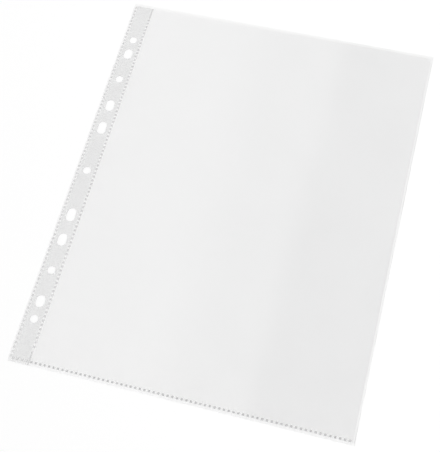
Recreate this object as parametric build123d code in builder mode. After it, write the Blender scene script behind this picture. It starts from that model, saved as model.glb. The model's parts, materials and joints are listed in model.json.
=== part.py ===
from build123d import *
import os

# A4 punched sheet protector, lying flat. X runs from the binding edge to the folded edge, Y from the
# welded foot to the open mouth, and Z up through the layers: rear film, binding strip, front film.

# Overall size
pocket_width = 242.0
pocket_height = 307.5
mouth_step = 2.1  # the front film stops this far short of the rear film at the mouth

# Layers
film_thickness = 0.08
strip_thickness = 0.18  # also the room between the two films

# Binding margin
strip_width = 15.0
edge_film = 0.8  # bare film outside the strip, along the binding edge
lip_width = 0.35  # where the two films lie on each other, at the very edge
lip_slope = 0.35  # where they part to pass over and under the strip
flex_width = 2.0  # free film between the stiff strip and the pocket, where the page bends

# Ring holes, on the middle line of the strip, as distances from the hole at its middle
round_hole_diameter = 5.8
slot_width = 6.4
round_hole_outer = 120.0
round_hole_inner = 82.4
slot_near = 37.6
slot_near_length = 10.6
slot_middle = 57.9
slot_middle_length = 9.7
slot_far = 106.6
slot_far_length = 9.0

# Welds: square spots pressed into the front film, in rows
margin_weld_pitch = 3.22
foot_weld_pitch = 3.26
weld_spot = 1.5
weld_dent = 0.03  # how far a spot lies below the front film's face
weld_border = 0.1  # least film between a spot and the end of its row
edge_weld_line = 1.5  # middle of the row from the binding edge
seam_weld_inset = 0.8  # middle of the row from the strip's inner edge
foot_weld_line = 2.6  # middle of the row from the foot
seam_bar_length = 10.0  # unbroken weld at both ends of the seam
seam_bar_width = 0.9

# Bottom hem of the front film, which stays down while the mouth opens
hem_height = 3.6
hem_gap = 0.05
lift_margin = 0.8  # how far the lifting film stays clear of the strip when the page is folded back

# Side fold: the film springs open into a flat loop, and is creased tight only at the welded foot
fold_height = 0.8
fold_run = 1.4

# Levels and lines that follow from the sizes above
rear_top = film_thickness
front_level = rear_top + strip_thickness
front_top = front_level + film_thickness
lip_rise = strip_thickness / 2
binding_edge = -pocket_width / 2
crease_radius = front_top / 2
crease_line = pocket_width / 2 - crease_radius
fold_radius = fold_height / 2
fold_line = pocket_width / 2 - fold_radius
fold_start = fold_line - fold_run
foot = -pocket_height / 2
mouth = foot + pocket_height
hem_top = foot + hem_height
front_height = pocket_height - mouth_step
front_end = foot + front_height
front_middle = foot + front_height / 2
margin_width = edge_film + strip_width
margin_end = binding_edge + margin_width
pocket_start = margin_end + flex_width
side_panel = margin_width + lift_margin
lift_start = pocket_start + side_panel
lift_end = fold_start - side_panel
strip_middle = binding_edge + edge_film + strip_width / 2
seam_line = margin_end - seam_weld_inset
edge_line = binding_edge + edge_weld_line
foot_line = foot + foot_weld_line
spot_height = film_thickness - weld_dent
row_end = weld_spot / 2 + weld_border


def spaced(start, end, pitch):
    """Weld positions from start to end: as many as fit at the pitch, centred on the span."""
    count = int((end - start) / pitch) + 1
    first = (start + end - (count - 1) * pitch) / 2
    return [first + i * pitch for i in range(count)]


def between(left, right, low, high):
    """A rectangle of the sketch at hand, given by its four sides."""
    with Locations(((left + right) / 2, (low + high) / 2)):
        Rectangle(right - left, high - low)


def margin_section(level, rise):
    """Outline of a film across the margin: flat at this level, stepping by rise to the lip at the edge."""
    under = [
        (binding_edge, level + rise),
        (binding_edge + lip_width, level + rise),
        (binding_edge + lip_width + lip_slope, level),
        (margin_end, level),
    ]
    over = [(x, z + film_thickness) for x, z in reversed(under)]
    return under + over


# One tool presses both rows of the margin, so the spots of the seam are level with those of the edge
bar_reach = seam_bar_length + weld_spot
seam_ends = [foot + seam_bar_length / 2, front_end - seam_bar_length / 2]
margin_rows = spaced(foot_line, front_end - weld_spot / 2, margin_weld_pitch)
edge_spots = [(edge_line, y) for y in margin_rows]
seam_spots = [(seam_line, y) for y in margin_rows if foot + bar_reach < y < front_end - bar_reach]
strip_foot_start = edge_line + weld_spot / 2 + row_end
strip_foot_end = seam_line - seam_bar_width / 2 - row_end
strip_foot_spots = [(x, foot_line) for x in spaced(strip_foot_start, strip_foot_end, foot_weld_pitch)]
pocket_foot_start = margin_end + row_end
pocket_foot_end = fold_start - weld_spot
pocket_foot_spots = [(x, foot_line) for x in spaced(pocket_foot_start, pocket_foot_end, foot_weld_pitch)]

os.makedirs("parts", exist_ok=True)

# One punch makes the ring holes in all three layers of the margin
with BuildSketch() as ring_holes:
    with Locations((strip_middle, front_middle)):
        Circle(round_hole_diameter / 2)
    for side in (-1, 1):
        for offset in (round_hole_inner, round_hole_outer):
            with Locations((strip_middle, front_middle + side * offset)):
                Circle(round_hole_diameter / 2)
        for offset, length in (
            (slot_near, slot_near_length),
            (slot_middle, slot_middle_length),
            (slot_far, slot_far_length),
        ):
            with Locations((strip_middle, front_middle + side * offset)):
                SlotOverall(length, slot_width, rotation=90)

# The three weld rows of the margin and the row along the pocket's foot
with BuildSketch() as edge_row:
    with Locations(*edge_spots):
        Rectangle(weld_spot, weld_spot)

with BuildSketch() as seam_row:
    with Locations(*seam_spots):
        Rectangle(weld_spot, weld_spot)
    with Locations(*[(seam_line, y) for y in seam_ends]):
        Rectangle(seam_bar_width, seam_bar_length)

with BuildSketch() as strip_foot_row:
    with Locations(*strip_foot_spots):
        Rectangle(weld_spot, weld_spot)

with BuildSketch() as pocket_foot_row:
    with Locations(*pocket_foot_spots):
        Rectangle(weld_spot, weld_spot)

# Binding margin: the strip between the two films, held by weld spots through the front film
with BuildPart() as rear_margin:
    with BuildSketch(Plane.XZ.offset(-foot)):
        with BuildLine():
            Polyline(*margin_section(0, lip_rise), close=True)
        make_face()
    extrude(amount=-pocket_height)
    with BuildSketch():
        add(ring_holes.sketch)
    extrude(amount=front_top, mode=Mode.SUBTRACT)

with BuildPart() as binding_strip:
    with BuildSketch(Plane.XY.offset(rear_top)):
        with Locations((strip_middle, front_middle)):
            Rectangle(strip_width, front_height)
        add(ring_holes.sketch, mode=Mode.SUBTRACT)
    extrude(amount=strip_thickness)

with BuildPart() as front_margin:
    with BuildSketch(Plane.XZ.offset(-foot)):
        with BuildLine():
            Polyline(*margin_section(front_level, -lip_rise), close=True)
        make_face()
    extrude(amount=-front_height)
    with BuildSketch(Plane.XY.offset(front_level)):
        add(ring_holes.sketch)
        add(edge_row.sketch)
        add(seam_row.sketch)
        add(strip_foot_row.sketch)
    extrude(amount=film_thickness, mode=Mode.SUBTRACT)

with BuildPart() as edge_weld:
    with BuildSketch(Plane.XY.offset(front_level)):
        add(edge_row.sketch)
    extrude(amount=spot_height)

with BuildPart() as seam_weld:
    with BuildSketch(Plane.XY.offset(front_level)):
        add(seam_row.sketch)
    extrude(amount=spot_height)

with BuildPart() as strip_foot_weld:
    with BuildSketch(Plane.XY.offset(front_level)):
        add(strip_foot_row.sketch)
    extrude(amount=spot_height)

# Flex line: the free film that the page turns on, one web in each film
with BuildPart() as rear_flex_line:
    with BuildSketch():
        between(margin_end, pocket_start, foot, mouth)
    extrude(amount=film_thickness)

with BuildPart() as front_flex_line:
    with BuildSketch(Plane.XY.offset(front_level)):
        between(margin_end, pocket_start, foot, front_end)
        add(pocket_foot_row.sketch, mode=Mode.SUBTRACT)
    extrude(amount=film_thickness)

# Pocket: the rear wall, and the hem that the foot weld holds down on it
with BuildPart() as rear_film:
    with BuildSketch():
        between(pocket_start, fold_start, foot, mouth)
        between(fold_start, crease_line, foot, hem_top)
    extrude(amount=film_thickness)

with BuildPart() as front_hem:
    with BuildSketch(Plane.XY.offset(front_level)):
        between(pocket_start, crease_line, foot, hem_top)
        add(pocket_foot_row.sketch, mode=Mode.SUBTRACT)
    extrude(amount=film_thickness)

with BuildPart() as foot_weld:
    with BuildSketch(Plane.XY.offset(rear_top)):
        add(pocket_foot_row.sketch)
    extrude(amount=strip_thickness + spot_height)

# The crease at the foot is half a ring that joins the hem to the rear wall
with BuildPart() as foot_fold:
    with BuildSketch(Plane.XZ.offset(-foot)):
        with Locations((crease_line, crease_radius)):
            Circle(crease_radius)
            Circle(strip_thickness / 2, mode=Mode.SUBTRACT)
        with Locations((crease_line - crease_radius / 2, crease_radius)):
            Rectangle(crease_radius, front_top, mode=Mode.SUBTRACT)
    extrude(amount=-hem_height)

# Above the hem the fold is a loop: round outside, then eased down to the front wall by two equal arcs.
# Its front side stops with the front wall, a step below the mouth.
loop_foot = (fold_start, film_thickness / 2)
loop_turn = (fold_line, film_thickness / 2)
loop_top = (fold_line, fold_height - film_thickness / 2)
loop_end = (fold_start, front_level + film_thickness / 2)
loop_ease = ((fold_start + fold_line) / 2, (loop_top[1] + loop_end[1]) / 2)
with BuildPart() as side_fold:
    with BuildSketch(Plane.XZ.offset(-hem_top - hem_gap)):
        with BuildLine():
            Line(loop_foot, loop_turn)
            CenterArc((fold_line, fold_radius), fold_radius - film_thickness / 2, -90, 180)
            TangentArc(loop_top, loop_ease, tangent=(-1, 0))
            TangentArc(loop_end, loop_ease, tangent=(1, 0))
        trace(line_width=film_thickness)
    extrude(amount=hem_top + hem_gap - mouth)
    with BuildSketch(Plane.XY.offset(front_level)):
        between(fold_start, pocket_width / 2, front_end, mouth)
    extrude(amount=fold_height, mode=Mode.SUBTRACT)

# Front wall: the middle lifts when the mouth is opened, and the film beside the seam and the fold bends
with BuildPart() as front_seam_side:
    with BuildSketch(Plane.XY.offset(front_level)):
        between(pocket_start, lift_start, hem_top, front_end)
    extrude(amount=film_thickness)

with BuildPart() as front_film:
    with BuildSketch(Plane.XY.offset(front_level)):
        between(lift_start, lift_end, hem_top + hem_gap, front_end)
    extrude(amount=film_thickness)

with BuildPart() as front_fold_side:
    with BuildSketch(Plane.XY.offset(front_level)):
        between(lift_end, fold_start, hem_top, front_end)
    extrude(amount=film_thickness)

nodes = {
    "rear_margin": rear_margin,
    "binding_strip": binding_strip,
    "front_margin": front_margin,
    "edge_weld": edge_weld,
    "seam_weld": seam_weld,
    "strip_foot_weld": strip_foot_weld,
    "rear_flex_line": rear_flex_line,
    "front_flex_line": front_flex_line,
    "rear_film": rear_film,
    "front_hem": front_hem,
    "foot_weld": foot_weld,
    "foot_fold": foot_fold,
    "side_fold": side_fold,
    "front_seam_side": front_seam_side,
    "front_film": front_film,
    "front_fold_side": front_fold_side,
}
for name, piece in nodes.items():
    piece.part.label = name
    export_step(piece.part, f"parts/{name}.step")
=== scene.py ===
import json
from math import cos, radians, sin

import bpy
import numpy as np
from mathutils import Matrix, Vector


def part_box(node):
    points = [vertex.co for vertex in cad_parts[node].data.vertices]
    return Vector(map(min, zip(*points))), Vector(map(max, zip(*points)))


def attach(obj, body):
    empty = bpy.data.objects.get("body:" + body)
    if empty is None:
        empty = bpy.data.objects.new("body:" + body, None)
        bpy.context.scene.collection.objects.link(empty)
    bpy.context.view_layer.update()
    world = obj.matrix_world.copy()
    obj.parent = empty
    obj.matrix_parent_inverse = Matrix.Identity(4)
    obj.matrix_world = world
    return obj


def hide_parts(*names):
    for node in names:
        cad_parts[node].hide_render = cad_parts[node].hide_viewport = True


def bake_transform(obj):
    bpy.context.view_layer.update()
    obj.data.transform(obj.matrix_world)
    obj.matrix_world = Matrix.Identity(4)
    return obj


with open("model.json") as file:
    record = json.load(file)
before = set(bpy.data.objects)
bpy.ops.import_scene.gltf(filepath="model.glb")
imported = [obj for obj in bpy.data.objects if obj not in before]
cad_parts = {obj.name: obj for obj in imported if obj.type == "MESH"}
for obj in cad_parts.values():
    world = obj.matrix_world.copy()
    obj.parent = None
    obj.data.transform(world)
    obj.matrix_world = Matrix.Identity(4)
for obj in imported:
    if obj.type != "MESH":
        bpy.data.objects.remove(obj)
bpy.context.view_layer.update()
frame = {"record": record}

mm = 0.001
roundDigits = 8  # decimals of a metre to which points are merged
sameLine = 1e-7  # grid lines this near, in metres, are one line

# lines and levels of the pocket, all read from the frame
bindingEdge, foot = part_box("rear_margin")[0][:2]
marginEnd, mouth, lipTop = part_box("rear_margin")[1]
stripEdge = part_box("binding_strip")[0].x
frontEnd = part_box("front_margin")[1].y
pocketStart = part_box("rear_film")[0].x
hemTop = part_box("front_hem")[1].y
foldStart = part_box("side_fold")[0].x
foldEdge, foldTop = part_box("side_fold")[1].x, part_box("side_fold")[1].z
edgeX = (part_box("edge_weld")[0].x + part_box("edge_weld")[1].x) / 2
seamX = (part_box("seam_weld")[0].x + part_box("seam_weld")[1].x) / 2
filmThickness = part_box("rear_film")[1].z
frontLevel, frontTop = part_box("front_film")[0].z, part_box("front_film")[1].z

layers = {
    "airGap": 0.016 * mm,  # room between two layers that lie on each other
    "lipWidth": 0.35 * mm,  # the two films lie on each other at the binding edge
    "lipSlope": 0.35 * mm,  # and part here to pass over and under the strip
    "flexReach": 10.0 * mm,  # film beside the strip that bends when the page turns
}
halfGap = layers["airGap"] / 2
flexEnd = marginEnd + layers["flexReach"]

# underside and top of each layer
rearLevels = (0, filmThickness - halfGap)
stripLevels = (filmThickness + halfGap, frontLevel - halfGap)
frontLevels = (frontLevel + halfGap, frontTop)
footLevels = (filmThickness, frontTop)

# meshes


# grid lines through all the marks, each span cut into equal steps no longer than step
def fillLines(marks, step):
    marks = np.unique(np.round(marks, roundDigits))
    slack = 1e-6  # share of a step, so that rounding adds no line
    counts = np.maximum(1, np.ceil(np.diff(marks) / step - slack)).astype(int)
    spans = zip(marks[:-1], marks[1:], counts)
    lines = [np.linspace(start, end, count, endpoint=False) for start, end, count in spans]
    return np.concatenate(lines + [marks[-1:]])


# the lines from start to end, both included
def linesWithin(lines, start, end):
    return lines[(lines > start - sameLine) & (lines < end + sameLine)]


# cells between the grid lines whose middle lies in one of the windows (left, right, low, high)
def inWindows(xs, ys, windows):
    middleX = (xs[:-1] + xs[1:]) / 2
    middleY = (ys[:-1] + ys[1:]) / 2
    windows = np.asarray(windows).reshape(-1, 4)
    acrossX = (middleX[:, None] > windows[:, 0]) & (middleX[:, None] < windows[:, 1])
    acrossY = (middleY[:, None] > windows[:, 2]) & (middleY[:, None] < windows[:, 3])
    return (acrossX[:, None, :] & acrossY[None, :, :]).any(-1)


# flat plan of a film: (points, quads) of the cells between the lines, less those in the windows
def gridPlan(xs, ys, windows=()):
    points = np.stack(np.meshgrid(xs, ys, indexing="ij"), -1).reshape(-1, 2)
    index = np.arange(len(points)).reshape(len(xs), len(ys))
    quads = np.stack([index[:-1, :-1], index[1:, :-1], index[1:, 1:], index[:-1, 1:]], -1)
    return points, quads[~inWindows(xs, ys, windows)]


# closed shell between two faces: the quads above, the same turned over below, a wall on each free edge.
# It is (vertices, faces, which faces take a second material), and here those are the walls.
def closedShell(quads, lower, upper):
    count = len(lower)
    edges = np.concatenate([quads[:, [0, 1]], quads[:, [1, 2]], quads[:, [2, 3]], quads[:, [3, 0]]])
    _, place, uses = np.unique(np.sort(edges, 1), axis=0, return_inverse=True, return_counts=True)
    free = edges[uses[place.ravel()] == 1]
    walls = np.concatenate([free, free[:, ::-1] + count], 1)
    faces = np.concatenate([quads + count, quads[:, ::-1], walls])
    isWall = np.arange(len(faces)) >= 2 * len(quads)
    used, place = np.unique(faces, return_inverse=True)
    return np.concatenate([lower, upper])[used], place.reshape(-1, 4), isWall


# a film over its plan, between two levels, and moved up by lift(x, y) where there is one
def filmShell(plan, levels, lift=None):
    points, quads = plan
    rise = lift(*points.T) if lift else np.zeros(len(points))
    return closedShell(quads, *[np.column_stack([points, level + rise]) for level in levels])


# several shells as one mesh
def joinShells(shells):
    vertices, faces, takesSecond = zip(*shells)
    starts = np.cumsum([0] + [len(part) for part in vertices[:-1]])
    faces = [part + start for part, start in zip(faces, starts)]
    return np.concatenate(vertices), np.concatenate(faces), np.concatenate(takesSecond)


# a mesh object at the origin, shaded smooth up to sharpAngle in degrees
def addPiece(name, shell, materials, sharpAngle=35):
    vertices, faces, takesSecond = shell
    mesh = bpy.data.meshes.new(name)
    mesh.from_pydata(vertices.tolist(), [], faces.tolist())
    for material in materials:
        mesh.materials.append(material)
    slots = takesSecond & (len(materials) > 1)
    mesh.polygons.foreach_set("material_index", slots.astype(np.int32))
    mesh.shade_smooth()
    mesh.set_sharp_from_angle(angle=radians(sharpAngle))
    mesh.update()
    piece = bpy.data.objects.new(name, mesh)
    bpy.context.scene.collection.objects.link(piece)
    return piece


# smooth step from 0 at start to 1 at end
def ease(value, start, end):
    t = np.clip((value - start) / (end - start), 0, 1)
    return t * t * (3 - 2 * t)


# weld rows

weldRows = {
    "spot": 1.5 * mm,
    "marginPitch": 3.22 * mm,
    "footPitch": 3.26 * mm,
    "barLength": 10.0 * mm,
    "barWidth": 0.9 * mm,
    "dent": 0.022 * mm,  # how far the middle of a spot is pressed in
    "room": 0.02 * mm,  # between a spot and the film round it
    "spotCells": (4, 4),
    "barCells": (3, 16),
    "clearReach": 0.95 * mm,  # the film is clearer this far round a row
    "barLead": 1.0 * mm,  # the bar's harder pressing starts this far before it
}


# places of the spots in a row that fills a node's box along one axis, spread evenly at about the pitch
def rowPlaces(node, axis, pitch):
    low, high = [np.array(corner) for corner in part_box(node)]
    start, end = low[axis] + weldRows["spot"] / 2, high[axis] - weldRows["spot"] / 2
    along = np.linspace(start, end, int(round((end - start) / pitch)) + 1)
    places = np.tile((low + high)[:2] / 2, (len(along), 1))
    places[:, axis] = along
    return places


edgePlaces = rowPlaces("edge_weld", 1, weldRows["marginPitch"])
footPlaces = rowPlaces("foot_weld", 0, weldRows["footPitch"])
stripFootPlaces = rowPlaces("strip_foot_weld", 0, weldRows["footPitch"])

# the seam row keeps step with the edge row, between a bar at each end
barReach = weldRows["barLength"] + weldRows["spot"]
edgeY = edgePlaces[:, 1]
seamY = edgeY[(edgeY > foot + barReach) & (edgeY < frontEnd - barReach)]
seamPlaces = np.column_stack([np.full(len(seamY), seamX), seamY])
halfBar = weldRows["barLength"] / 2
barPlaces = np.array([[seamX, foot + halfBar], [seamX, frontEnd - halfBar]])
spotHalf = np.array([weldRows["spot"], weldRows["spot"]]) / 2
barHalf = np.array([weldRows["barWidth"], weldRows["barLength"]]) / 2


# the windows of film that pads take up, as (left, right, low, high)
def windowsAt(places, half):
    x, y = places.T
    return np.column_stack([x - half[0], x + half[0], y - half[1], y + half[1]])


# pressed spots: every pad is the same grid, its top sinking by dent * (1 - u^2)(1 - v^2) to the middle
def padShell(places, half, bottom, top, cells=weldRows["spotCells"]):
    u = np.linspace(-1, 1, cells[0] + 1)
    v = np.linspace(-1, 1, cells[1] + 1)
    plan, quads = gridPlan(u, v)
    reach = half - weldRows["room"]
    points = (places[:, None, :] + plan[None] * reach).reshape(-1, 2)
    press = np.tile((1 - plan[:, 0] ** 2) * (1 - plan[:, 1] ** 2), len(places))
    offsets = np.arange(len(places))[:, None, None] * len(plan)
    tops = (quads[None] + offsets).reshape(-1, 4)
    lower = np.column_stack([points, np.full(len(points), bottom)])
    upper = np.column_stack([points, top - weldRows["dent"] * press])
    vertices, faces, _ = closedShell(tops, lower, upper)
    return vertices, faces, np.arange(len(faces)) >= len(tops)  # only the pressed top is frosted


# materials


def addNode(tree, kind, **settings):
    node = tree.nodes.new(kind)
    for name, value in settings.items():
        if name in node.inputs:
            node.inputs[name].default_value = value
        else:
            setattr(node, name, value)
    return node


def mathNode(tree, operation, *values):
    node = addNode(tree, "ShaderNodeMath", operation=operation)
    for socket, value in zip(node.inputs, values):
        if isinstance(value, bpy.types.NodeSocket):
            tree.links.new(value, socket)
        else:
            socket.default_value = value
    return node.outputs[0]


def noiseNode(tree, coordinates, scale, stretch=(1, 1, 1), detail=2.0):
    mapping = addNode(tree, "ShaderNodeMapping")
    mapping.inputs["Scale"].default_value = stretch
    tree.links.new(coordinates, mapping.inputs["Vector"])
    noise = addNode(tree, "ShaderNodeTexNoise", Scale=scale, Detail=detail)
    tree.links.new(mapping.outputs["Vector"], noise.inputs["Vector"])
    return noise.outputs["Fac"]


def rangeNode(tree, value, fromMin, fromMax, toMin, toMax, smooth=False):
    node = addNode(tree, "ShaderNodeMapRange", clamp=True)
    node.interpolation_type = "SMOOTHSTEP" if smooth else "LINEAR"
    limits = {"From Min": fromMin, "From Max": fromMax, "To Min": toMin, "To Max": toMax}
    for name, limit in limits.items():
        node.inputs[name].default_value = limit
    tree.links.new(value, node.inputs["Value"])
    return node.outputs["Result"]


plastic = {
    "refraction": 1.49,
    "grazingPower": 5.0,
    "roughnessSpread": 0.2,
    "noiseSpan": (0.3, 0.7),  # most of a noise texture lies between these
    "lineStretch": (1, 0.02, 1),  # film is drawn along the page, and its fine lines run that way
    "bandBlur": 0.12 * mm,
}


# see-through plastic: Alpha is the share of light that a face stops or throws back. It is even from
# above and rises towards a grazing view with a power of (1 - cos). Blotches vary it, and so do bands
# along X or Y, each a smooth step to its own share.
def plasticMaterial(name, look):
    material = bpy.data.materials.new(name)
    material.use_nodes = True
    tree = material.node_tree
    shader = tree.nodes["Principled BSDF"]
    where = addNode(tree, "ShaderNodeTexCoord").outputs["Object"]
    blotches = noiseNode(tree, where, look["blotchScale"])
    grain = noiseNode(tree, where, look["grainScale"], detail=1.0)
    drawLines = noiseNode(tree, where, look["lineScale"], plastic["lineStretch"], detail=3.0)

    uneven, spread = look["unevenness"], plastic["roughnessSpread"]
    haze = rangeNode(tree, blotches, *plastic["noiseSpan"], 1 - uneven, 1 + uneven)
    haze = mathNode(tree, "MULTIPLY", haze, look["haze"])
    axes = addNode(tree, "ShaderNodeSeparateXYZ")
    tree.links.new(where, axes.inputs[0])
    blur = plastic["bandBlur"]
    for axis, bands in look.get("bands", {}).items():
        along, before = axes.outputs[axis], 1
        for start, share in bands:
            change = rangeNode(tree, along, start - blur, start + blur, 1, share / before, True)
            haze = mathNode(tree, "MULTIPLY", haze, change)
            before = share
    facing = addNode(tree, "ShaderNodeLayerWeight", Blend=0.5).outputs["Facing"]
    grazing = mathNode(tree, "POWER", facing, plastic["grazingPower"])
    alpha = mathNode(tree, "MULTIPLY_ADD", grazing, look["grazingGain"], haze)
    tree.links.new(mathNode(tree, "MINIMUM", alpha, 1.0), shader.inputs["Alpha"])

    tint = addNode(tree, "ShaderNodeMix", data_type="RGBA")
    tint.inputs["A"].default_value = (*look["colourDark"], 1)
    tint.inputs["B"].default_value = (*look["colourPale"], 1)
    tree.links.new(drawLines, tint.inputs["Factor"])
    tree.links.new(tint.outputs["Result"], shader.inputs["Base Color"])
    smoothest, roughest = look["roughness"] * (1 - spread), look["roughness"] * (1 + spread)
    rough = rangeNode(tree, grain, *plastic["noiseSpan"], smoothest, roughest)
    tree.links.new(rough, shader.inputs["Roughness"])
    shader.inputs["Metallic"].default_value = look["mirror"]
    shader.inputs["IOR"].default_value = plastic["refraction"]

    relief = mathNode(tree, "MULTIPLY_ADD", grain, look["grainShare"], drawLines)
    bump = addNode(tree, "ShaderNodeBump", Strength=look["bump"], Distance=look["bumpDepth"])
    tree.links.new(relief, bump.inputs["Height"])
    tree.links.new(bump.outputs["Normal"], shader.inputs["Normal"])
    return material


clearFilmLook = {
    "haze": 0.0525,
    "unevenness": 0.05,
    "grazingGain": 0.5,
    "blotchScale": 22.0,
    "grainScale": 1800.0,
    "lineScale": 420.0,
    "colourDark": (0.80, 0.80, 0.80),
    "colourPale": (0.87, 0.87, 0.87),
    "roughness": 0.08,
    "mirror": 0.9,
    "grainShare": 0.6,
    "bump": 0.15,
    "bumpDepth": 0.004 * mm,
    "bands": {  # share of the haze from each line on; a cut edge shows as a fine hazy rim
        "X": (
            (bindingEdge - 1 * mm, 0.75),  # the rim
            (bindingEdge + 0.3 * mm, 0.4),  # two films melted into one stop half as much light
            (bindingEdge + 0.85 * mm, 0.65),  # clearer along the edge row and the seam row
            (edgeX + weldRows["clearReach"], 1.0),
            (seamX - weldRows["clearReach"], 0.65),
            (marginEnd, 1.0),
            (foldEdge - 2.4 * mm, 1.08),  # painted shade: a slightly hazier line beside the fold
            (foldEdge - 1.45 * mm, 0.38),  # painted highlight: clearer film on the fold itself, so that it shows lighter
            (foldEdge - 0.65 * mm, 1.75),  # painted shade: hazier again along the fold's outer rim
        ),
        "Y": (
            (foot - 1 * mm, 0.75),  # the rim
            (foot + 0.45 * mm, 0.45),  # melted below the foot row
            (foot + 1.5 * mm, 1.0),
            (mouth - 0.45 * mm, 1.7),  # the rim
        ),
    },
}
stripFilmLook = {
    "haze": 0.066,
    "unevenness": 0.05,
    "grazingGain": 0.5,
    "blotchScale": 60.0,
    "grainScale": 1500.0,
    "lineScale": 500.0,
    "colourDark": (0.70, 0.70, 0.70),
    "colourPale": (0.80, 0.80, 0.80),
    "roughness": 0.45,
    "mirror": 0.3,
    "grainShare": 1.0,
    "bump": 0.3,
    "bumpDepth": 0.006 * mm,
    "bands": {
        "X": (
            (bindingEdge, 0.7),
            (edgeX + weldRows["clearReach"], 1.0),
            (seamX - weldRows["clearReach"], 0.7),
        ),
    },
}
footWeldLook = {
    "haze": 0.51,
    "unevenness": 0.06,
    "grazingGain": 0.4,
    "blotchScale": 90.0,
    "grainScale": 3000.0,
    "lineScale": 900.0,
    "colourDark": (0.46, 0.46, 0.46),
    "colourPale": (0.60, 0.60, 0.60),
    "roughness": 0.6,
    "mirror": 0.0,
    "grainShare": 2.0,
    "bump": 0.6,
    "bumpDepth": 0.02 * mm,
}
marginWeldLook = {
    **footWeldLook,
    "haze": 0.48,
    "colourDark": (0.78, 0.78, 0.78),
    "colourPale": (0.88, 0.88, 0.88),
}
mouthBarStart = frontEnd - weldRows["barLength"] - weldRows["barLead"]
seamWeldLook = {
    **marginWeldLook,
    "haze": 0.53,
    "bands": {"Y": ((mouthBarStart, 1.4),)},  # the bar at the mouth is pressed hardest
}
cutEdgeLook = {
    "haze": 0.3,
    "unevenness": 0.2,
    "grazingGain": 0.3,
    "blotchScale": 300.0,
    "grainScale": 2500.0,
    "lineScale": 900.0,
    "colourDark": (0.62, 0.62, 0.62),
    "colourPale": (0.78, 0.78, 0.78),
    "roughness": 0.5,
    "mirror": 0.0,
    "grainShare": 1.0,
    "bump": 0.4,
    "bumpDepth": 0.01 * mm,
}
clearFilm = plasticMaterial("clearFilm", clearFilmLook)
stripFilm = plasticMaterial("stripFilm", stripFilmLook)
footSpot = plasticMaterial("footSpot", footWeldLook)
marginSpot = plasticMaterial("marginSpot", marginWeldLook)
seamSpot = plasticMaterial("seamSpot", seamWeldLook)
cutEdge = plasticMaterial("cutEdge", cutEdgeLook)
print("materials: film, strip, weld and cut edge")

# binding margin

punching = {
    "sideRoom": 1.3 * mm,  # the fine mesh round a hole reaches this far past it
    "fineStep": 0.5 * mm,
    "plainStep": 2.5 * mm,
    "rings": 4,  # of faces round a hole
    "crowding": 1.4,  # how strongly they crowd towards its rim
}

# every ring hole as (x, y, radius, half of the straight part), from the mounts of the record
ringHoles = []
for mount in frame["record"]["mounts"]:
    x, y = mount["pos_m"][:2]
    dims = mount["dims"]
    if mount["kind"] == "bore":
        ringHoles.append((x, y, dims["r_mm"] * mm, 0))
    if mount["kind"] == "bolt_pattern":
        radius = dims["hole_r_mm"] * mm
        straight = max(dims.get("slot_length_mm", 0) / 2 * mm - radius, 0)
        for side in (-1, 1):
            ringHoles.append((x, y + side * dims["spacing_y_mm"] / 2 * mm, radius, straight))
ringHoles = np.array(ringHoles)
holeHalfX = ringHoles[:, 2].max() + punching["sideRoom"]
holeHalfY = ringHoles[:, 2] + ringHoles[:, 3] + punching["sideRoom"]
holeX = ringHoles[0, 0]


# plan of one punched hole: straight rays from the hole's outline (v = 0) to a rectangle (v = 1).
# A ray meets the straight sides at r / |dx|, and beyond them the end circle round (0, +-straight).
def holePlan(centre, radius, straight, xs, ys):
    border = np.concatenate([
        np.stack([xs[:-1], np.full(len(xs) - 1, ys[0])], -1),
        np.stack([np.full(len(ys) - 1, xs[-1]), ys[:-1]], -1),
        np.stack([xs[:0:-1], np.full(len(xs) - 1, ys[-1])], -1),
        np.stack([np.full(len(ys) - 1, xs[0]), ys[:0:-1]], -1),
    ])
    ray = border - centre
    ray = ray / np.linalg.norm(ray, axis=1, keepdims=True)
    smallest = 1e-9  # keeps a ray along y from dividing by nothing
    toSide = radius / np.maximum(np.abs(ray[:, 0]), smallest)
    along = np.abs(ray[:, 1]) * straight
    toEnd = along + np.sqrt(np.maximum(along**2 - straight**2 + radius**2, 0))
    reach = np.where(toSide * np.abs(ray[:, 1]) <= straight, toSide, toEnd)
    outline = centre + ray * reach[:, None]
    v = np.linspace(0, 1, punching["rings"] + 1)[None, :, None] ** punching["crowding"]
    points = (outline[:, None] * (1 - v) + border[:, None] * v).reshape(-1, 2)
    index = np.arange(len(points)).reshape(len(border), -1)
    after = np.roll(index, -1, axis=0)
    quads = np.stack([index[:, :-1], index[:, 1:], after[:, 1:], after[:, :-1]], -1)
    return points, quads.reshape(-1, 4)


# several plans as one, with the points that they share along their borders merged
def joinPlans(plans):
    points, quads = zip(*plans)
    starts = np.cumsum([0] + [len(part) for part in points[:-1]])
    quads = np.concatenate([part + start for part, start in zip(quads, starts)])
    kept, place = np.unique(np.round(np.concatenate(points), roundDigits), axis=0, return_inverse=True)
    return kept, place.ravel()[quads]


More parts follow.
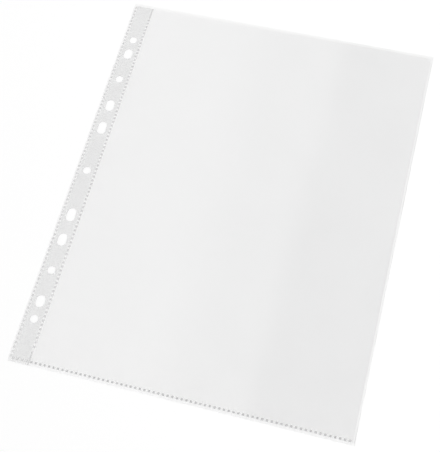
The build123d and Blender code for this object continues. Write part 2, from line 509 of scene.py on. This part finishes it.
# plan of a margin layer: a grid with the weld windows left out, and a ray plan round each ring hole
def marginPlan(left, right, low, high, windows=(), marksX=()):
    windows = np.asarray(windows).reshape(-1, 4)
    fineX = fillLines([holeX - holeHalfX, holeX + holeHalfX], punching["fineStep"])
    fineX = np.round(fineX, roundDigits)
    plainX = np.concatenate([[left, right], marksX, windows[:, 0], windows[:, 1]])
    plainX = fillLines(plainX, punching["plainStep"])
    xs = np.union1d(np.setdiff1d(plainX, linesWithin(plainX, fineX[0], fineX[-1])), fineX)

    holeLow, holeHigh = ringHoles[:, 1] - holeHalfY, ringHoles[:, 1] + holeHalfY
    plainY = np.concatenate([[low, high], windows[:, 2], windows[:, 3], holeLow, holeHigh])
    plainY = fillLines(plainY, punching["plainStep"])
    besideHoles = [linesWithin(plainY, start, end) for start, end in zip(holeLow, holeHigh)]
    fineY = [fillLines(lines, punching["fineStep"]) for lines in besideHoles]
    ys = np.unique(np.round(np.concatenate([plainY] + fineY), roundDigits))

    squares = [(fineX[0], fineX[-1], start, end) for start, end in zip(holeLow, holeHigh)]
    plans = [gridPlan(xs, ys, np.concatenate([windows, squares]))]
    for (x, y, radius, straight), start, end in zip(ringHoles, holeLow, holeHigh):
        rows = linesWithin(ys, start, end)
        plans.append(holePlan(np.array([x, y]), radius, straight, fineX, rows))
    return joinPlans(plans)


lipRise = lipTop - filmThickness
lipMarks = bindingEdge + (layers["lipWidth"] + layers["lipSlope"] * np.array([0, 0.5, 1]))


# at the binding edge both films move by lipRise towards each other, eased over the slope
def rearLipLift(x, y):
    return lipRise * (1 - ease(x, lipMarks[0], lipMarks[-1]))


def frontLipLift(x, y):
    return -rearLipLift(x, y)


rearMarginPlan = marginPlan(bindingEdge, marginEnd, foot, mouth, marksX=lipMarks)
rearMargin = addPiece(
    "rearMargin", filmShell(rearMarginPlan, rearLevels, rearLipLift), [clearFilm, cutEdge]
)
stripPlan = marginPlan(stripEdge, marginEnd, foot, frontEnd)
bindingStrip = addPiece("bindingStrip", filmShell(stripPlan, stripLevels), [stripFilm, cutEdge])
marginWindows = np.concatenate([
    windowsAt(edgePlaces, spotHalf),
    windowsAt(seamPlaces, spotHalf),
    windowsAt(barPlaces, barHalf),
    windowsAt(stripFootPlaces, spotHalf),
])
frontMarginPlan = marginPlan(bindingEdge, marginEnd, foot, frontEnd, marginWindows, lipMarks)
frontMargin = addPiece(
    "frontMargin", filmShell(frontMarginPlan, frontLevels, frontLipLift), [clearFilm, cutEdge]
)
edgePads = padShell(edgePlaces, spotHalf, *frontLevels)
edgeWeld = addPiece("edgeWeld", edgePads, [marginSpot, clearFilm])
seamPads = padShell(seamPlaces, spotHalf, *frontLevels)
barPads = padShell(barPlaces, barHalf, *frontLevels, weldRows["barCells"])
seamWeld = addPiece("seamWeld", joinShells([seamPads, barPads]), [seamSpot, clearFilm])
stripFootPads = padShell(stripFootPlaces, spotHalf, *frontLevels)
stripFootWeld = addPiece("stripFootWeld", stripFootPads, [marginSpot, clearFilm])
print("margin:", len(ringHoles), "ring holes,", len(edgePlaces) + len(seamPlaces), "weld spots")

# pocket

pocket = {
    "flexStep": 0.25 * mm,
    "wallStep": 4.0 * mm,
    "bowHeight": 0.08 * mm,  # the free front wall is never quite flat
    "waveHeight": 0.10 * mm,
    "waveLength": 74.0 * mm,
    "waveWander": 2.2,  # radians that the waves shift to and fro along the page
    "wanderLength": 95.0 * mm,
    "sideFade": 26.0 * mm,  # bow and waves fade over this length to the seam and the fold
    "hemFade": 78.0 * mm,  # and over this one to the hem
}

inFlex = footPlaces[:, 0] < flexEnd
footWindows = windowsAt(footPlaces, spotHalf)
flexWindows, hemWindows = footWindows[inFlex], footWindows[~inFlex]

acrossFlex = np.concatenate([[marginEnd, pocketStart, flexEnd], flexWindows[:, :2].ravel()])
flexX = fillLines(acrossFlex, pocket["flexStep"])
rearX = fillLines([flexEnd, foldStart], pocket["wallStep"])
rearY = fillLines([foot, mouth], pocket["wallStep"])
alongFlex = np.concatenate([[foot, hemTop, frontEnd], flexWindows[:, 2:].ravel()])
flexY = fillLines(alongFlex, pocket["wallStep"])
acrossHem = np.clip(hemWindows[:, :2].ravel(), flexEnd, foldStart)
hemX = fillLines(np.concatenate([[flexEnd, foldStart], acrossHem]), pocket["wallStep"])
hemY = fillLines(np.concatenate([[foot, hemTop], footWindows[0, 2:]]), pocket["wallStep"])
wallY = fillLines([hemTop, frontEnd], pocket["wallStep"])

rearFlex = addPiece("rearFlex", filmShell(gridPlan(flexX, rearY), rearLevels), [clearFilm])
frontFlexPlan = gridPlan(flexX, flexY, flexWindows)
frontFlex = addPiece("frontFlex", filmShell(frontFlexPlan, frontLevels), [clearFilm])
rearFilm = addPiece("rearFilm", filmShell(gridPlan(rearX, rearY), rearLevels), [clearFilm])
hemPlan = gridPlan(hemX, hemY, footWindows)
frontHem = addPiece("frontHem", filmShell(hemPlan, frontLevels), [clearFilm])
flexPads = padShell(footPlaces[inFlex], spotHalf, *footLevels)
flexWeld = addPiece("flexWeld", flexPads, [footSpot, clearFilm])
footPads = padShell(footPlaces[~inFlex], spotHalf, *footLevels)
footWeld = addPiece("footWeld", footPads, [footSpot, clearFilm])


# lift of the free front wall: a low bow with long waves across it, all fading to the held edges
def wallLift(x, y):
    fromSides = ease(np.minimum(x - flexEnd, foldStart - x), 0, pocket["sideFade"])
    fromHem = ease(y, hemTop, hemTop + pocket["hemFade"])
    wander = pocket["waveWander"] * np.sin(y / pocket["wanderLength"])
    waves = 0.5 + 0.5 * np.sin(2 * np.pi * x / pocket["waveLength"] + wander)
    return fromSides * fromHem * (pocket["bowHeight"] + pocket["waveHeight"] * waves)


# the front wall in two halves that meet in the middle of the page, where it opens most
wallMiddle = 0.0


def frontWallHalf(name, left, right):
    plan = gridPlan(fillLines([left, right], pocket["wallStep"]), wallY)
    return addPiece(name, filmShell(plan, frontLevels, wallLift), [clearFilm])


frontFilmLeft = frontWallHalf("frontFilmLeft", flexEnd, wallMiddle)
frontFilmRight = frontWallHalf("frontFilmRight", wallMiddle, foldStart)
print("pocket: rear wall, flex lines, hem and front wall")

# side fold

fold = {
    "openUp": 22.0 * mm,  # above the hem the tight crease opens to the full loop over this length
    "stepsFlat": 6,
    "stepsRound": 14,
    "stepsEase": 12,
    "lengthStep": 3.0 * mm,
}


# middle line of the fold at y: s runs from 0 to 1 flat out to the turn, to 2 round half a circle, and
# to 3 eased back down to the front film
def foldLine(s, y):
    height = frontTop + (foldTop - frontTop) * ease(y, hemTop, hemTop + fold["openUp"])
    radius = height / 2
    middle = filmThickness / 2
    turnX = foldEdge - radius
    angle = np.pi * (np.clip(s - 1, 0, 1) - 0.5)
    back = np.clip(s - 2, 0, 1)
    flatX = foldStart + np.clip(s, 0, 1) * (turnX - foldStart)
    x = np.where(s <= 1, flatX, turnX + (radius - middle) * np.cos(angle))
    z = np.where(s <= 1, middle, radius + (radius - middle) * np.sin(angle))
    frontMiddle = (frontLevel + frontTop) / 2
    x = np.where(s > 2, turnX + back * (foldStart - turnX), x)
    z = np.where(s > 2, height - middle + ease(back, 0, 1) * (frontMiddle - height + middle), z)
    return np.stack([x, y, z], -1)


foldSteps = np.concatenate([
    np.linspace(0, 1, fold["stepsFlat"], endpoint=False),
    np.linspace(1, 2, fold["stepsRound"], endpoint=False),
    np.linspace(2, 3, fold["stepsEase"] + 1),
])
foldY = fillLines([foot, hemTop, frontEnd, mouth], fold["lengthStep"])
beyondFront = (1.5, 3, frontEnd, mouth)  # from the middle of the turn on it is the shorter front film
foldPlan, foldQuads = gridPlan(foldSteps, foldY, [beyondFront])
section, page = foldPlan.T
nudge = 1e-4  # step in s between the two places that give the tangent
tangent = foldLine(section + nudge, page) - foldLine(section - nudge, page)
normal = np.column_stack([-tangent[:, 2], np.zeros(len(tangent)), tangent[:, 0]])
normal[section < nudge] = (0, 0, 1)  # level where it joins the rear film
normal[section > 3 - nudge] = (0, 0, -1)  # and turned over, but level, where it joins the front one
normal /= np.linalg.norm(normal, axis=1, keepdims=True)
foldMiddle = foldLine(section, page)
halfFilm = filmThickness / 2 - halfGap / 2
foldShell = closedShell(foldQuads, foldMiddle - normal * halfFilm, foldMiddle + normal * halfFilm)
sideFold = addPiece("sideFold", foldShell, [clearFilm])
print("side fold:", len(sideFold.data.polygons), "faces")

# which body each piece moves with, and which solids it stands for

riding = [
    (rearMargin, "strip", ["rear_margin"], "clear_film"),
    (bindingStrip, "strip", ["binding_strip"], "strip_film"),
    (frontMargin, "strip", ["front_margin"], "clear_film"),
    (edgeWeld, "strip", ["edge_weld"], "weld"),
    (seamWeld, "strip", ["seam_weld"], "weld"),
    (stripFootWeld, "strip", ["strip_foot_weld"], "weld"),
    (rearFilm, "pocket", ["rear_film"], "clear_film"),
    (frontHem, "pocket", ["front_hem"], "clear_film"),
    (footWeld, "pocket", ["foot_weld"], "weld"),
    (sideFold, "pocket", ["side_fold", "foot_fold"], "clear_film"),
]
for piece, body, nodes, slotName in riding:
    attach(piece, body)
    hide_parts(*nodes)

# these have their transform baked into the mesh and their solids hidden; each row also gives two bodies
# and a span along X
pageTurn, mouthOpening = ("strip", "pocket"), ("pocket", "front_wall")
leftNodes, rightNodes = ["front_seam_side", "front_film"], ["front_fold_side", "front_film"]
bending = [
    (rearFlex, pageTurn, marginEnd, flexEnd, ["rear_flex_line"], "clear_film"),
    (frontFlex, pageTurn, marginEnd, flexEnd, ["front_flex_line"], "clear_film"),
    (flexWeld, pageTurn, marginEnd, flexEnd, [], "weld"),
    (frontFilmLeft, mouthOpening, flexEnd, wallMiddle, leftNodes, "clear_film"),
    (frontFilmRight, mouthOpening, foldStart, wallMiddle, rightNodes, "clear_film"),
]
for piece, bodies, startX, endX, nodes, slotName in bending:
    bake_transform(piece)
    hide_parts(*nodes)
print("bodies:", len(riding), "pieces ride,", len(bending), "bend")

# floor, light and camera

studio = {
    "seeThroughDepth": 32,  # how many see-through faces a ray may pass
    "floorSize": 14.0,
    "floorDrop": 0.02 * mm,
    "floorColour": (0.86, 0.86, 0.86),
    "floorRoughness": 0.9,
    "floorGlow": 0.30,  # seen directly or mirrored, not shed on the object
    "worldLow": 0.68,  # bright all round near the horizon
    "worldHigh": 0.35,  # darker overhead
    "worldTurn": (0.35, 0.7),  # between these heights, as the sine of the elevation
    "worldLeft": 0.255,  # with a soft glow over the binding side
    "glowAcross": (-0.21, -0.13),  # which fades out along X
    "glowUp": (0.5, 0.7),  # and in with height
    "panelPlace": (-0.365, 0.45, 1.0),
    "panelSize": (0.66, 1.2),
    "panelPower": 0.64,
    "keyPlace": (2.1, 0.525, 2.4),
    "keySize": (1.8, 1.8),
    "keyPower": 45.0,
}
white = (1, 1, 1, 1)

scene = bpy.context.scene
scene.view_settings.view_transform = "Standard"
scene.cycles.transparent_max_bounces = studio["seeThroughDepth"]

half, drop = studio["floorSize"] / 2, studio["floorDrop"]
corners = [(-half, -half, -drop), (half, -half, -drop), (half, half, -drop), (-half, half, -drop)]
floorMesh = bpy.data.meshes.new("floor")
floorMesh.from_pydata(corners, [], [(0, 1, 2, 3)])
floor = bpy.data.objects.new("floor", floorMesh)
scene.collection.objects.link(floor)
floorMaterial = bpy.data.materials.new("paleFloor")
floorMaterial.use_nodes = True
tree = floorMaterial.node_tree
floorShader = tree.nodes["Principled BSDF"]
floorShader.inputs["Base Color"].default_value = (*studio["floorColour"], 1)
floorShader.inputs["Roughness"].default_value = studio["floorRoughness"]
floorShader.inputs["Specular IOR Level"].default_value = 0.0
floorShader.inputs["Emission Color"].default_value = white
rays = addNode(tree, "ShaderNodeLightPath").outputs
seen = mathNode(tree, "MAXIMUM", rays["Is Glossy Ray"], rays["Is Transmission Ray"])
seen = mathNode(tree, "MAXIMUM", rays["Is Camera Ray"], seen)
glow = mathNode(tree, "MULTIPLY", seen, studio["floorGlow"])
tree.links.new(glow, floorShader.inputs["Emission Strength"])
floorMesh.materials.append(floorMaterial)

world = bpy.data.worlds.new("studio")
scene.world = world
world.use_nodes = True
tree = world.node_tree
direction = addNode(tree, "ShaderNodeTexCoord").outputs["Generated"]
axes = addNode(tree, "ShaderNodeSeparateXYZ")
tree.links.new(direction, axes.inputs[0])
across, height = axes.outputs["X"], axes.outputs["Z"]
sky = rangeNode(tree, height, *studio["worldTurn"], studio["worldLow"], studio["worldHigh"], True)
leftGlow = rangeNode(tree, across, *studio["glowAcross"], studio["worldLeft"], 0, True)
overhead = rangeNode(tree, height, *studio["glowUp"], 0, 1, True)
sky = mathNode(tree, "MULTIPLY_ADD", leftGlow, overhead, sky)
background = tree.nodes["Background"]
tree.links.new(sky, background.inputs["Strength"])
background.inputs["Color"].default_value = white


# an area lamp that faces straight down, or towards aim where one is given
def addLamp(name, place, size, power, aim=None):
    light = bpy.data.lights.new(name, "AREA")
    light.shape = "RECTANGLE"
    light.size, light.size_y = size
    light.energy = power
    lamp = bpy.data.objects.new(name, light)
    lamp.location = place
    if aim is not None:
        lamp.rotation_euler = (Vector(aim) - Vector(place)).to_track_quat("-Z", "Y").to_euler()
    lamp.visible_camera = False
    scene.collection.objects.link(lamp)


# the panel is level, so its mirror image has straight edges along the page
addLamp("panel", studio["panelPlace"], studio["panelSize"], studio["panelPower"])
addLamp("key", studio["keyPlace"], studio["keySize"], studio["keyPower"], aim=(0, 0, 0))

view = {
    "azimuth": 22.333,
    "elevation": 65.550,
    "roll": -8.355,
    "target": (-3.87 * mm, -22.39 * mm, 0),
    "distance": 677.28 * mm,
    "focalPixels": 937.47,
    "longSidePixels": 452,
    "sensorWidth": 36.0,
    "nearest": 10.0 * mm,
}
azimuth, elevation, roll = [radians(view[name]) for name in ("azimuth", "elevation", "roll")]
backward = Vector((sin(azimuth) * cos(elevation), -cos(azimuth) * cos(elevation), sin(elevation)))
sideways = Vector((cos(azimuth), sin(azimuth), 0))
upright = backward.cross(sideways)
tiltedRight = cos(roll) * sideways + sin(roll) * upright
tiltedUp = cos(roll) * upright - sin(roll) * sideways
cameraData = bpy.data.cameras.new("camera")
cameraData.sensor_width = view["sensorWidth"]
cameraData.lens = view["focalPixels"] * view["sensorWidth"] / view["longSidePixels"]
cameraData.clip_start = view["nearest"]
camera = bpy.data.objects.new("camera", cameraData)
scene.collection.objects.link(camera)
turn = Matrix((tiltedRight, tiltedUp, backward)).transposed().to_4x4()
camera.matrix_world = Matrix.Translation(Vector(view["target"]) + backward * view["distance"]) @ turn
scene.camera = camera
print("stage: floor, world, panel, key lamp and camera")
